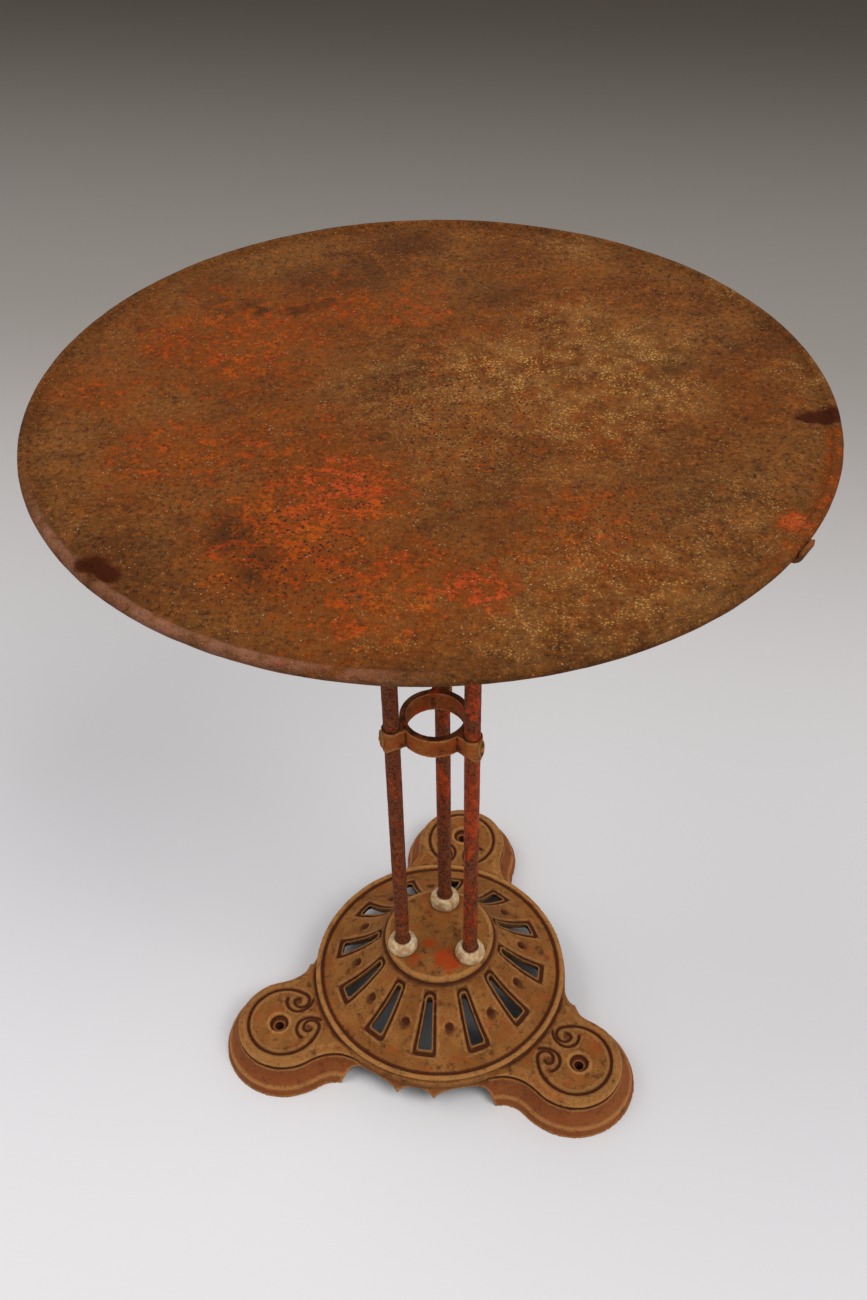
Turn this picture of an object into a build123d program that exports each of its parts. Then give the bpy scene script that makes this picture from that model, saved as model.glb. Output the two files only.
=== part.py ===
from build123d import *

import math
import os

# A round garden pedestal table: a rolled-rim sheet top on three parallel rods, tied by a ring
# collar and standing on a pierced three-lobed cast base. Millimetres, +Z up, and the origin is
# on the floor under the centre of the top.

# ---------------------------------------------------------------- driving dimensions
TABLE_DIAMETER = 550.0
TABLE_HEIGHT = 744.0
SIDES = {"back": 90.0, "front_left": 210.0, "front_right": 330.0}
SIDE_STEP = 120.0

SHEET_THICKNESS = 1.6
BEAD_RADIUS = 4.3
BEAD_RISE = 1.9
RIM_GROOVE_RADIUS = 263.5

ROD_DIAMETER = 14.0
ROD_CIRCLE_RADIUS = 40.0
TENON_DIAMETER = 10.0
RUNNING_GAP = 0.1

HUB_HEIGHT = 103.0
HUB_RADIUS = 56.0
PLATE_RADIUS = 133.0
PAD_HEIGHT = 39.5
PLATE_THICKNESS = 6.0
FOOT_CENTRE_RADIUS = 171.3
FOOT_RADIUS = 49.5
FOOT_FILLET_RADIUS = 45.0
FOOT_FLARE = 14.5
WALL_THICKNESS = 5.0

SLOT_COUNT = 12
FLOOR_HOLE_CIRCLE_RADIUS = 178.0
FLOOR_HOLE_DIAMETER = 9.0
FLOOR_RECESS_DIAMETER = 19.0
FLOOR_RECESS_DEPTH = 5.5
FLOOR_BOSS_RADIUS = 14.0
FLOOR_BOSS_DROP = 12.0
SCROLL_RADIUS = 37.0
VOLUTE_RADIUS = 8.0

COLLAR_HEIGHT = 418.5
COLLAR_BAND = 21.0
COLLAR_INNER_RADIUS = 25.5
COLLAR_OUTER_RADIUS = 31.0
SADDLE_WALL = 1.8
LEAF_DROP = 6.5

ARM_WIDTH = 22.0
ARM_TIP_WIDTH = 17.0
ARM_THICKNESS = 5.0
ARM_INNER_RADIUS = 12.0
ARM_TIP_RADIUS = 262.0
ARM_RIVET_RADII = (20.0, 63.0)
HOOK_LEAN = 2.0
RIVET_RADIUS = 3.0
RIVET_HEAD_RADIUS = 5.0
PIN_RADIUS = 1.6
SHIELD_THICKNESS = 2.2
SHIELD_HALF_WIDTH = 4.2
SHIELD_HALF_HEIGHT = 10.5

# ---------------------------------------------------------------- sizes worked out from them
BEAD_CIRCLE_RADIUS = TABLE_DIAMETER / 2 - BEAD_RADIUS
BEAD_CENTRE_Z = TABLE_HEIGHT - BEAD_RADIUS
SHEET_TOP_Z = TABLE_HEIGHT - BEAD_RISE
ARM_TOP_Z = SHEET_TOP_Z - SHEET_THICKNESS
SPIDER_TOP_Z = ARM_TOP_Z - ARM_THICKNESS
SPIDER_PLATE = 8.0
SPIDER_BOSS_DROP = 12.0
SPIDER_UNDER_Z = SPIDER_TOP_Z - SPIDER_PLATE
BOSS_UNDER_Z = SPIDER_UNDER_Z - SPIDER_BOSS_DROP
NUT_HEIGHT = 8.0
NUT_ACROSS_FLATS = 17.0
WASHER_THICKNESS = 2.0
WASHER_DIAMETER = 20.0
ROD_SHOULDER_Z = BOSS_UNDER_Z - NUT_HEIGHT
HUB_UNDER_Z = HUB_HEIGHT - 12.0
PLATE_UNDER_Z = PAD_HEIGHT - PLATE_THICKNESS
SADDLE_RADIUS = ROD_DIAMETER / 2 + SADDLE_WALL
SHIELD_OFFSET = ROD_CIRCLE_RADIUS + SADDLE_RADIUS - SADDLE_WALL / 3
TENON_BORE_RADIUS = TENON_DIAMETER / 2 + RUNNING_GAP / 2
RIVET_BORE_RADIUS = RIVET_RADIUS + RUNNING_GAP / 2
HOLE_EASE = 0.3
TENON_STANDOUT = 3.0
CUT_MARGIN = 1.0

os.makedirs("parts", exist_ok=True)


def polar(radius, degrees, z=0.0):
    """A point at a radius and an azimuth round the Z axis."""
    angle = math.radians(degrees)
    return Vector(radius * math.cos(angle), radius * math.sin(angle), z)


def cylinder(radius, low, high, centre=(0.0, 0.0)):
    """An upright cylinder between two heights."""
    return Pos(centre[0], centre[1], low) * extrude(Circle(radius), high - low)


def rod_bore(radius, low, high):
    """A cutting cylinder on the first rod's axis that overshoots both ends."""
    return cylinder(radius, low - CUT_MARGIN, high + CUT_MARGIN, (ROD_CIRCLE_RADIUS, 0.0))


def at_sides(shape):
    """Copies of a shape made at azimuth 0, turned to the three sides."""
    return [Rot(0, 0, azimuth) * shape for azimuth in SIDES.values()]


def spin(face):
    """A full solid of revolution round Z from a face drawn in the XZ plane."""
    return revolve(face, axis=Axis.Z, revolution_arc=360)


# ---------------------------------------------------------------- top
def tabletop_sheet():
    """Flat sheet with a shallow groove inside its rim, and the rim rolled round a wire."""
    flat = Rectangle(BEAD_CIRCLE_RADIUS - BEAD_RADIUS + 1.0, SHEET_THICKNESS, align=(Align.MIN, Align.MAX))
    groove_depth = 0.7
    groove_tool_radius = 3.0
    groove = Pos(RIM_GROOVE_RADIUS, groove_tool_radius - groove_depth) * Circle(groove_tool_radius)
    flat = Pos(0, SHEET_TOP_Z) * (flat - groove)
    curl = Circle(BEAD_RADIUS) - Circle(BEAD_RADIUS - SHEET_THICKNESS)
    slit = Pos(-BEAD_RADIUS, -BEAD_RADIUS / 2) * Rectangle(2 * BEAD_RADIUS, 1.2)
    slit_side = Pos(-BEAD_RADIUS, 0) * Rectangle(2 * BEAD_RADIUS, 2 * BEAD_RADIUS)
    rolled = Pos(BEAD_CIRCLE_RADIUS, BEAD_CENTRE_Z) * (curl - (slit & slit_side))
    return spin(Plane.XZ * (flat + rolled))


def rim_wire():
    """The wire that the rim is rolled over."""
    wire_radius = BEAD_RADIUS - SHEET_THICKNESS - RUNNING_GAP
    return spin(Plane.XZ * (Pos(BEAD_CIRCLE_RADIUS, BEAD_CENTRE_Z) * Circle(wire_radius)))


def top_spider():
    """Cast three-way plate under the top, with a boss for each rod and a pad for each arm."""
    pad_length = 76.0
    pad_width = 28.0
    boss_radius = 14.0
    pad = Pos(pad_length / 2, 0) * RectangleRounded(pad_length, pad_width, 8.0)
    outline = Circle(34.0)
    for azimuth in SIDES.values():
        outline += Rot(0, 0, azimuth) * pad
    plate = Pos(0, 0, SPIDER_UNDER_Z) * extrude(outline, SPIDER_PLATE)
    plate = fillet(plate.edges().group_by(Axis.Z)[0], 1.5)
    boss = cylinder(boss_radius, BOSS_UNDER_Z, SPIDER_UNDER_Z + 1.0, (ROD_CIRCLE_RADIUS, 0.0))
    boss = chamfer(boss.edges().group_by(Axis.Z)[0], 1.5)
    spider = plate + at_sides(boss)
    spider -= at_sides(rod_bore(TENON_BORE_RADIUS, BOSS_UNDER_Z, SPIDER_TOP_Z))
    for radius in ARM_RIVET_RADII:
        drill = cylinder(
            RIVET_BORE_RADIUS, SPIDER_UNDER_Z - CUT_MARGIN, SPIDER_TOP_Z + CUT_MARGIN, (radius, 0.0)
        )
        spider -= at_sides(drill)
    return spider


def arm_holes():
    """Countersunk rivet holes of an arm that lies along +X."""
    countersink_depth = 2.0
    tools = Part()
    for radius in ARM_RIVET_RADII:
        place = (radius, 0.0)
        tools += cylinder(RIVET_BORE_RADIUS, SPIDER_TOP_Z - CUT_MARGIN, ARM_TOP_Z + CUT_MARGIN, place)
        tools += Pos(radius, 0, ARM_TOP_Z - countersink_depth / 2) * Cone(
            RIVET_RADIUS + RUNNING_GAP, RIVET_HEAD_RADIUS + RUNNING_GAP, countersink_depth
        )
    return tools


def plain_arm():
    """Flat bar from the spider to just inside the rolled rim, with its tip turned down."""
    bend = 6.0
    tip_under = ARM_TOP_Z - 12.0
    with BuildSketch() as side:
        with BuildLine():
            top = Line((ARM_INNER_RADIUS, ARM_TOP_Z), (ARM_TIP_RADIUS - bend, ARM_TOP_Z))
            tip = JernArc(top @ 1, (1, 0), bend, -90)
            end = Line(tip @ 1, (ARM_TIP_RADIUS, tip_under))
            back = Line(end @ 1, (ARM_TIP_RADIUS - ARM_THICKNESS, tip_under))
            up = Line(back @ 1, (ARM_TIP_RADIUS - ARM_THICKNESS, ARM_TOP_Z - bend))
            inner = JernArc(up @ 1, (0, 1), bend - ARM_THICKNESS, 90)
            under = Line(inner @ 1, (ARM_INNER_RADIUS, SPIDER_TOP_Z))
            Line(under @ 1, top @ 0)
        make_face()
    return arm_from_side(side.sketch)


def hooked_arm():
    """The arm whose tip passes under the rolled rim and hooks up round its outside. It leans a
    little to one side of its rod."""
    hook_inner = BEAD_RADIUS + 0.3
    hook_thickness = 3.2
    hook_outer = hook_inner + hook_thickness
    dip_start = BEAD_CIRCLE_RADIUS - 26.0
    dip_end = BEAD_CIRCLE_RADIUS - 10.0
    low_top = BEAD_CENTRE_Z - hook_inner
    low_under = low_top - hook_thickness
    rise = 20.0
    bead_centre = Vector(BEAD_CIRCLE_RADIUS, BEAD_CENTRE_Z)
    with BuildSketch() as side:
        with BuildLine():
            top = Line((ARM_INNER_RADIUS, ARM_TOP_Z), (dip_start, ARM_TOP_Z))
            dip = Line(top @ 1, (dip_end, low_top))
            run = Line(dip @ 1, (BEAD_CIRCLE_RADIUS, low_top))
            inner = JernArc(run @ 1, (1, 0), hook_inner, 90 + rise)
            nose = Line(inner @ 1, bead_centre + polar(hook_outer, rise))
            middle = bead_centre + polar(hook_outer, (rise - 90) / 2)
            outer = ThreePointArc(nose @ 1, middle, (BEAD_CIRCLE_RADIUS, low_under))
            back = Line(outer @ 1, (dip_end - 1.0, low_under))
            climb = Line(back @ 1, (dip_start - 2.0, SPIDER_TOP_Z))
            under = Line(climb @ 1, (ARM_INNER_RADIUS, SPIDER_TOP_Z))
            Line(under @ 1, top @ 0)
        make_face()
    return arm_from_side(side.sketch, HOOK_LEAN)


def arm_from_side(side, lean=0.0):
    """A bar with the given side view, narrowed in plan towards its tip, turned by its lean and
    drilled to suit the spider."""
    reach = TABLE_DIAMETER / 2 + 10.0
    start = ARM_INNER_RADIUS - CUT_MARGIN
    bar = extrude(Plane.XZ * side, ARM_WIDTH / 2, both=True)
    plan = make_face(
        Polyline(
            (start, -ARM_WIDTH / 2),
            (reach, -ARM_TIP_WIDTH / 2),
            (reach, ARM_TIP_WIDTH / 2),
            (start, ARM_WIDTH / 2),
            close=True,
        )
    )
    bar = bar & (Pos(0, 0, BOSS_UNDER_Z) * extrude(plan, TABLE_HEIGHT))
    return Rot(0, 0, lean) * bar - arm_holes()


def headed_pin(shank_radius, shank_length, head_radius, head_height, flush_radius=0.0):
    """A round-headed pin on the Z axis: the head sits above Z = 0 and the shank runs down from it,
    ending in a countersunk flare if flush_radius is given."""
    flare = max(flush_radius - shank_radius, 0.0)
    with BuildSketch() as section:
        with BuildLine():
            dome = ThreePointArc(
                (0, head_height), (head_radius * 0.72, head_height * 0.69), (head_radius, 0)
            )
            under = Line(dome @ 1, (shank_radius, 0))
            if flare:
                side = Line(under @ 1, (shank_radius, -shank_length + flare))
                foot = Line(side @ 1, (flush_radius, -shank_length))
            else:
                foot = Line(under @ 1, (shank_radius, -shank_length))
            end = Line(foot @ 1, (0, -shank_length))
            Line(end @ 1, dome @ 0)
        make_face()
    return spin(Plane.XZ * section.sketch)


def arm_rivets():
    """Six rivets, flush on the arms and round-headed under the spider."""
    head_height = 3.2
    length = ARM_TOP_Z - SPIDER_UNDER_Z - 2 * RUNNING_GAP
    flush_radius = RIVET_HEAD_RADIUS - 3 * RUNNING_GAP
    rivet = headed_pin(RIVET_RADIUS, length, RIVET_HEAD_RADIUS, head_height, flush_radius)
    upside_down = Rot(180, 0, 0) * rivet
    made = []
    for radius in ARM_RIVET_RADII:
        made += at_sides(Pos(radius, 0, SPIDER_UNDER_Z) * upside_down)
    return made


def hexagon_nut(low):
    """A chamfered hexagon nut on a rod's tenon."""
    corner = NUT_ACROSS_FLATS / math.sqrt(3)
    crown_chamfer = 1.2
    body = Pos(ROD_CIRCLE_RADIUS, 0, low) * extrude(RegularPolygon(corner, 6), NUT_HEIGHT)
    crown = Pos(ROD_CIRCLE_RADIUS, 0, low + NUT_HEIGHT / 2) * Cylinder(corner, NUT_HEIGHT)
    body = body & chamfer(crown.edges().filter_by(GeomType.CIRCLE), crown_chamfer)
    return body - rod_bore(TENON_BORE_RADIUS, low, low + NUT_HEIGHT)


def top_lock_nuts():
    """Nuts between the rods' shoulders and the spider's bosses."""
    return at_sides(hexagon_nut(ROD_SHOULDER_Z))


# ---------------------------------------------------------------- rods and collar
def rod(azimuth):
    """Round rod with a turned tenon at each end."""
    low_tenon_end = HUB_UNDER_Z - WASHER_THICKNESS - NUT_HEIGHT - TENON_STANDOUT
    tenon_chamfer = 0.8
    centre = polar(ROD_CIRCLE_RADIUS, azimuth)
    place = (centre.X, centre.Y)
    shaft = cylinder(ROD_DIAMETER / 2, HUB_HEIGHT, ROD_SHOULDER_Z, place)
    tenon = cylinder(TENON_DIAMETER / 2, low_tenon_end, SPIDER_TOP_Z - 2 * RUNNING_GAP, place)
    tenon = chamfer(tenon.edges().filter_by(GeomType.CIRCLE), tenon_chamfer)
    return shaft + tenon


def rod_ferrule():
    """Domed ferrule that closes the foot of a rod."""
    dome_radius = 15.5
    dome_height = 13.5
    bore = ROD_DIAMETER / 2 + RUNNING_GAP
    lip = bore + 1.4
    with BuildSketch() as section:
        with BuildLine():
            base = Line((bore, HUB_HEIGHT), (dome_radius - 1.0, HUB_HEIGHT))
            side = ThreePointArc(
                base @ 1, (dome_radius - 0.6, HUB_HEIGHT + 5.4), (lip, HUB_HEIGHT + dome_height)
            )
            top = Line(side @ 1, (bore, HUB_HEIGHT + dome_height))
            Line(top @ 1, base @ 0)
        make_face()
    return Pos(ROD_CIRCLE_RADIUS, 0, 0) * spin(Plane.XZ * section.sketch)


def saddle():
    """Leaf-shaped lug that wraps a rod: round in plan, drawn to a point below."""
    low = COLLAR_HEIGHT - COLLAR_BAND / 2
    high = low + COLLAR_BAND
    shoulder = low + 3.0
    tip = low - LEAF_DROP
    wrap = cylinder(SADDLE_RADIUS, tip - CUT_MARGIN, high, (ROD_CIRCLE_RADIUS, 0.0))
    right = ThreePointArc((SADDLE_RADIUS, shoulder), (SADDLE_RADIUS * 0.6, low - 3.6), (0.0, tip))
    with BuildSketch() as leaf:
        with BuildLine():
            add(right)
            add(mirror(right, about=Plane.YZ))
            Polyline(
                (-SADDLE_RADIUS, shoulder),
                (-SADDLE_RADIUS, high),
                (SADDLE_RADIUS, high),
                (SADDLE_RADIUS, shoulder),
            )
        make_face()
    across = extrude(Plane.YZ * leaf.sketch, TABLE_DIAMETER, both=True)
    return wrap & across


def collar_ring():
    """Cast ring between the rods with a bored saddle for each rod, flat where its shield seats."""
    low = COLLAR_HEIGHT - COLLAR_BAND / 2
    high = low + COLLAR_BAND
    web_length = 9.0
    web_width = 16.0
    web_centre = COLLAR_OUTER_RADIUS + web_length / 4
    seat_size = 60.0
    band = cylinder(COLLAR_OUTER_RADIUS, low, high)
    web = Pos(web_centre, 0, COLLAR_HEIGHT) * Box(web_length, web_width, COLLAR_BAND)
    body = band + at_sides(saddle()) + at_sides(web)
    body -= cylinder(COLLAR_INNER_RADIUS, low - CUT_MARGIN, high + CUT_MARGIN)
    bore = rod_bore(ROD_DIAMETER / 2 + RUNNING_GAP / 2, low - LEAF_DROP, high)
    seat = Pos(SHIELD_OFFSET + seat_size / 2, 0, COLLAR_HEIGHT) * Box(seat_size, seat_size, seat_size)
    return body - at_sides(bore) - at_sides(seat) - at_sides(pin_hole())


def pin_hole():
    """Radial hole for the pin through a shield and its saddle."""
    beyond = SHIELD_OFFSET + SHIELD_THICKNESS + CUT_MARGIN
    return radial_cylinder(PIN_RADIUS + RUNNING_GAP / 2, ROD_CIRCLE_RADIUS, beyond)


def radial_cylinder(radius, near, far):
    """A cylinder along +X at the collar's height."""
    return Plane(origin=(near, 0, COLLAR_HEIGHT), z_dir=(1, 0, 0)) * extrude(Circle(radius), far - near)


def collar_shield():
    """Narrow oval plate on the outside of a saddle."""
    seat = Plane(origin=(SHIELD_OFFSET, 0, COLLAR_HEIGHT), x_dir=(0, 1, 0), z_dir=(1, 0, 0))
    edge_rounding = 1.0
    oval = seat * Ellipse(SHIELD_HALF_WIDTH, SHIELD_HALF_HEIGHT)
    plate = extrude(oval, SHIELD_THICKNESS)
    plate = fillet(plate.edges().group_by(Axis.X)[-1], edge_rounding)
    return plate - pin_hole()


def collar_pins():
    """Round-headed pins that hold the shields and stop on the rods."""
    outer = SHIELD_OFFSET + SHIELD_THICKNESS
    length = outer - ROD_CIRCLE_RADIUS - ROD_DIAMETER / 2 - RUNNING_GAP
    head_radius = 2.8
    head_height = 1.4
    pin = headed_pin(PIN_RADIUS, length, head_radius, head_height)
    return at_sides(Plane(origin=(outer, 0, COLLAR_HEIGHT), z_dir=(1, 0, 0)) * pin)


# ---------------------------------------------------------------- base
def lobe_turn():
    """Angle from a lobe's azimuth to where its hollow arc meets the central disc."""
    reach = PLATE_RADIUS + FOOT_FILLET_RADIUS
    side = FOOT_RADIUS + FOOT_FILLET_RADIUS
    cosine = (reach**2 + FOOT_CENTRE_RADIUS**2 - side**2) / (2 * reach * FOOT_CENTRE_RADIUS)
    return math.degrees(math.acos(cosine))


def lobe_edges(azimuth):
    """The outline round one lobe: a hollow arc, the lobe's own arc and the other hollow arc."""
    foot = polar(FOOT_CENTRE_RADIUS, azimuth)
    hollows = []
    tangents = []
    for way in (-1, 1):
        centre = polar(PLATE_RADIUS + FOOT_FILLET_RADIUS, azimuth + way * lobe_turn())
        on_foot = foot + (centre - foot).normalized() * FOOT_RADIUS
        on_disc = centre.normalized() * PLATE_RADIUS
        inwards = (on_foot - centre) + (on_disc - centre)
        hollows.append(ThreePointArc(on_foot, centre + inwards.normalized() * FOOT_FILLET_RADIUS, on_disc))
        tangents.append(on_foot)
    tip = ThreePointArc(tangents[0], polar(FOOT_CENTRE_RADIUS + FOOT_RADIUS, azimuth), tangents[1])
    return [hollows[0], tip, hollows[1]]


def base_outline():
    """Closed outline of the base plate: a central disc and three lobes, blended by hollow arcs."""
    edges = []
    for azimuth in SIDES.values():
        start = polar(PLATE_RADIUS, azimuth + lobe_turn())
        middle = polar(PLATE_RADIUS, azimuth + SIDE_STEP / 2)
        end = polar(PLATE_RADIUS, azimuth + SIDE_STEP - lobe_turn())
        edges += lobe_edges(azimuth)
        edges.append(ThreePointArc(start, middle, end))
    return Wire(edges)


def edge_moulding():
    """Section of the base's edge, as distance outside the outline and height: a rounded plate edge,
    a hollow wall with a ridge at its foot, and a flared plinth."""
    step_z = PAD_HEIGHT - 7.0
    with BuildSketch() as section:
        with BuildLine():
            top = Line((-14.0, PAD_HEIGHT), (-11.0, PAD_HEIGHT))
            round_edge = ThreePointArc(top @ 1, (-3.4, PAD_HEIGHT - 2.0), (0.4, step_z))
            hollow_wall = ThreePointArc(round_edge @ 1, (2.4, 20.0), (8.8, 11.8))
            ridge = ThreePointArc(hollow_wall @ 1, (10.6, 11.0), (11.4, 8.8))
            plinth = Line(ridge @ 1, (FOOT_FLARE, 0.0))
            bottom = Line(plinth @ 1, (FOOT_FLARE - WALL_THICKNESS, 0.0))
            inside = ThreePointArc(bottom @ 1, (-2.6, 19.0), (-7.5, PLATE_UNDER_Z))
            under = Line(inside @ 1, (-14.0, PLATE_UNDER_Z))
            Line(under @ 1, top @ 0)
        make_face()
    return section.sketch


def edge_ring():
    """The edge moulding carried round the whole outline."""
    start = polar(PLATE_RADIUS, SIDES["back"] + SIDE_STEP / 2)
    outwards = start.normalized()
    section_plane = Plane(origin=start, x_dir=outwards, z_dir=outwards.cross(Vector(0, 0, 1)))
    return sweep(section_plane * edge_moulding(), path=base_outline())


def step_lines():
    """The sunk line under each lobe's rounded edge, from disc to disc."""
    line_radius = 1.9
    line_z = PAD_HEIGHT - 8.2
    lines = []
    for azimuth in SIDES.values():
        path = Pos(0, 0, line_z) * Wire(lobe_edges(azimuth))
        start = path @ 0
        section = Plane(origin=start, z_dir=path % 0) * Circle(line_radius)
        lines.append(sweep(section, path=path))
    return lines


def bell(inset=0.0):
    """Section of the solid bell: hub disc, sunk line, hollow flare, groove and edge bead."""
    hub_edge = HUB_RADIUS - inset
    lower = -inset
    with BuildSketch() as section:
        with BuildLine():
            top = Line((0, HUB_HEIGHT + lower), (hub_edge - 4.0, HUB_HEIGHT + lower))
            shoulder = JernArc(top @ 1, (1, 0), 4.0, -90)
            neck = Line(shoulder @ 1, (hub_edge - 1.0, HUB_HEIGHT - 7.0 + lower))
            lead = Line(neck @ 1, (58.5 - inset, HUB_HEIGHT - 8.0 + lower))
            flare = ThreePointArc(lead @ 1, (87.7 - inset, 64.0 + lower), (122.5, 43.5 + lower))
            groove = ThreePointArc(flare @ 1, (124.8, 42.2 + lower), (126.6, 43.6 + lower))
            bead = ThreePointArc(groove @ 1, (129.4, 44.8 + lower), (PLATE_RADIUS - 0.8, 42.6 + lower))
            sunk_line = ThreePointArc(bead @ 1, (PLATE_RADIUS - 2.4, 41.2), (PLATE_RADIUS - 0.8, 39.8))
            edge = Line(sunk_line @ 1, (PLATE_RADIUS, PLATE_UNDER_Z))
            floor = Line(edge @ 1, (0, PLATE_UNDER_Z))
            Line(floor @ 1, top @ 0)
        make_face()
    return spin(Plane.XZ * section.sketch)


def bell_hollow():
    """The space under the bell."""
    with BuildSketch() as section:
        with BuildLine():
            top = Line((0, HUB_UNDER_Z), (51.0, HUB_UNDER_Z))
            corner = Line(top @ 1, (54.5, HUB_UNDER_Z - 4.5))
            flare = ThreePointArc(corner @ 1, (83.5, 58.8), (118.0, 38.5))
            down = Line(flare @ 1, (118.0, PLATE_UNDER_Z - 1.0))
            floor = Line(down @ 1, (0, PLATE_UNDER_Z - 1.0))
            Line(floor @ 1, top @ 0)
        make_face()
    return spin(Plane.XZ * section.sketch)


def tapered_prism(inner_radius, outer_radius, inner_width, outer_width, corner):
    """An upright prism along +X that widens outwards, with rounded outer corners."""
    plan = make_face(
        Polyline(
            (inner_radius, -inner_width / 2),
            (outer_radius, -outer_width / 2),
            (outer_radius, outer_width / 2),
            (inner_radius, inner_width / 2),
            close=True,
        )
    )
    plan = fillet(plan.vertices().group_by(Axis.X)[-1], corner)
    plan = fillet(plan.vertices().group_by(Axis.X)[0], inner_width * 0.4)
    return extrude(plan, HUB_HEIGHT + 10.0)


def base_openings():
    """Everything cut through the bell: slots with a sunk margin round each, and dimples between."""
    margin_depth = 1.8
    skin = bell() - bell(margin_depth)
    slot = tapered_prism(65.0, 104.0, 5.0, 14.0, 2.5)
    lip = tapered_prism(63.4, 105.6, 8.0, 17.4, 3.5)
    margin = tapered_prism(60.5, 110.0, 11.5, 25.0, 5.0)
    sunk = (margin - lip) & skin
    dimple = Pos(87.7, 0, 64.0 + 3.6) * Sphere(5.4)
    step = 360.0 / SLOT_COUNT
    tools = []
    for index in range(SLOT_COUNT):
        tools.append(Rot(0, 0, index * step) * slot)
        tools.append(Rot(0, 0, index * step) * sunk)
        tools.append(Rot(0, 0, (index + 0.5) * step) * dimple)
    return tools


def scroll_lines(way):
    """One half of a pad's C-scroll in the pad's own plane, +X outwards: the big arc from the outer
    end, a volute of shrinking arcs, and the tail that runs off round the volute to the hub."""
    turn_in = 145.0
    centre = Vector(1.0, 0.0)
    radius = SCROLL_RADIUS
    direction = 0.0
    lines = []
    volute = ((SCROLL_RADIUS, turn_in), (VOLUTE_RADIUS, 195.0), (VOLUTE_RADIUS * 0.55, 150.0))
    for next_radius, sweep_angle in volute:
        centre = centre + polar(radius - next_radius, direction * way)
        radius = next_radius
        lines.append(CenterArc((centre.X, centre.Y), radius, direction * way, sweep_angle * way))
        direction += sweep_angle
    tail_centre = (-19.5, 17.0 * way)
    tail_radius = 12.0
    wide_radius = 18.0
    wide_centre = (-19.5, (17.0 - tail_radius + wide_radius) * way)
    lines.append(CenterArc(tail_centre, tail_radius, 40.0 * way, -130.0 * way))
    lines.append(CenterArc(wide_centre, wide_radius, -90.0 * way, -55.0 * way))
    return lines


def pad_scrolls():
    """Shallow C-scroll lines cut in each pad."""
    line_width = 2.4
    line_depth = 1.6
    drawn = Sketch()
    for way in (-1, 1):
        for line in scroll_lines(way):
            drawn += trace(line, line_width)
    cut = Pos(FOOT_CENTRE_RADIUS, 0, PAD_HEIGHT - line_depth) * extrude(drawn, line_depth + CUT_MARGIN)
    return at_sides(cut)


def skirt_cut():
    """Lower edge of the skirt between two feet, cut away as arch, cusp, arch, cusp, arch."""
    cusp = (18.2, 16.0)
    arch_end = (79.0, 1.0)
    half = [
        ThreePointArc((0, 27.0), (cusp[0] * 0.62, 24.0), cusp),
        ThreePointArc(cusp, (46.0, 27.5), arch_end),
        Line(arch_end, (arch_end[0] + 2.0, -CUT_MARGIN)),
    ]
    mirrored = [mirror(line, about=Plane.YZ) for line in half]
    floor = Line((-arch_end[0] - 2.0, -CUT_MARGIN), (arch_end[0] + 2.0, -CUT_MARGIN))
    profile = make_face(Sketch() + half + mirrored + [floor])
    near = 90.0
    far = 175.0
    return Plane(origin=(near, 0, 0), x_dir=(0, 1, 0), z_dir=(1, 0, 0)) * extrude(profile, far - near)


def floor_fixing():
    """Boss under each pad for a floor screw, and the recess and hole cut through it."""
    place = (FLOOR_HOLE_CIRCLE_RADIUS, 0.0)
    boss_low = PLATE_UNDER_Z - FLOOR_BOSS_DROP
    boss = cylinder(FLOOR_BOSS_RADIUS, boss_low, PLATE_UNDER_Z + CUT_MARGIN, place)
    recess_low = PAD_HEIGHT - FLOOR_RECESS_DEPTH
    recess = cylinder(FLOOR_RECESS_DIAMETER / 2, recess_low, PAD_HEIGHT + CUT_MARGIN, place)
    hole = cylinder(FLOOR_HOLE_DIAMETER / 2, boss_low - CUT_MARGIN, PAD_HEIGHT, place)
    return boss, recess + hole


def base_casting():
    """Cast base: pierced bell, lobed plate with scrolled pads, and a scalloped skirt."""
    skirt_skew = -2.1
    inner_plate = offset(make_face(base_outline()), -12.0)
    plate = Pos(0, 0, PLATE_UNDER_Z) * extrude(inner_plate, PLATE_THICKNESS)
    boss, fixing_hole = floor_fixing()
    body = plate + bell() + edge_ring() + at_sides(boss)
    rod_hole = rod_bore(TENON_DIAMETER / 2 + HOLE_EASE, HUB_UNDER_Z, HUB_HEIGHT)
    cuts = [bell_hollow()] + base_openings() + pad_scrolls() + step_lines()
    cuts += at_sides(rod_hole) + at_sides(fixing_hole)
    gap_azimuth = SIDE_STEP / 2 + skirt_skew
    cuts += [Rot(0, 0, azimuth + gap_azimuth) * skirt_cut() for azimuth in SIDES.values()]
    return body - cuts


def base_washers():
    """Washers under the hub."""
    low = HUB_UNDER_Z - WASHER_THICKNESS
    ring = cylinder(WASHER_DIAMETER / 2, low, HUB_UNDER_Z, (ROD_CIRCLE_RADIUS, 0.0))
    return at_sides(ring - rod_bore(TENON_DIAMETER / 2 + HOLE_EASE, low, HUB_UNDER_Z))


def base_nuts():
    """Nuts that pull the rods down on the base."""
    return at_sides(hexagon_nut(HUB_UNDER_Z - WASHER_THICKNESS - NUT_HEIGHT))


# ---------------------------------------------------------------- nodes
def save(name, shape):
    """Writes one node, a single solid or a group of identical ones."""
    if isinstance(shape, list):
        shape = Compound(children=[solid for part in shape for solid in part.solids()])
    shape.label = name
    export_step(shape, f"parts/{name}.step")


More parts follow.
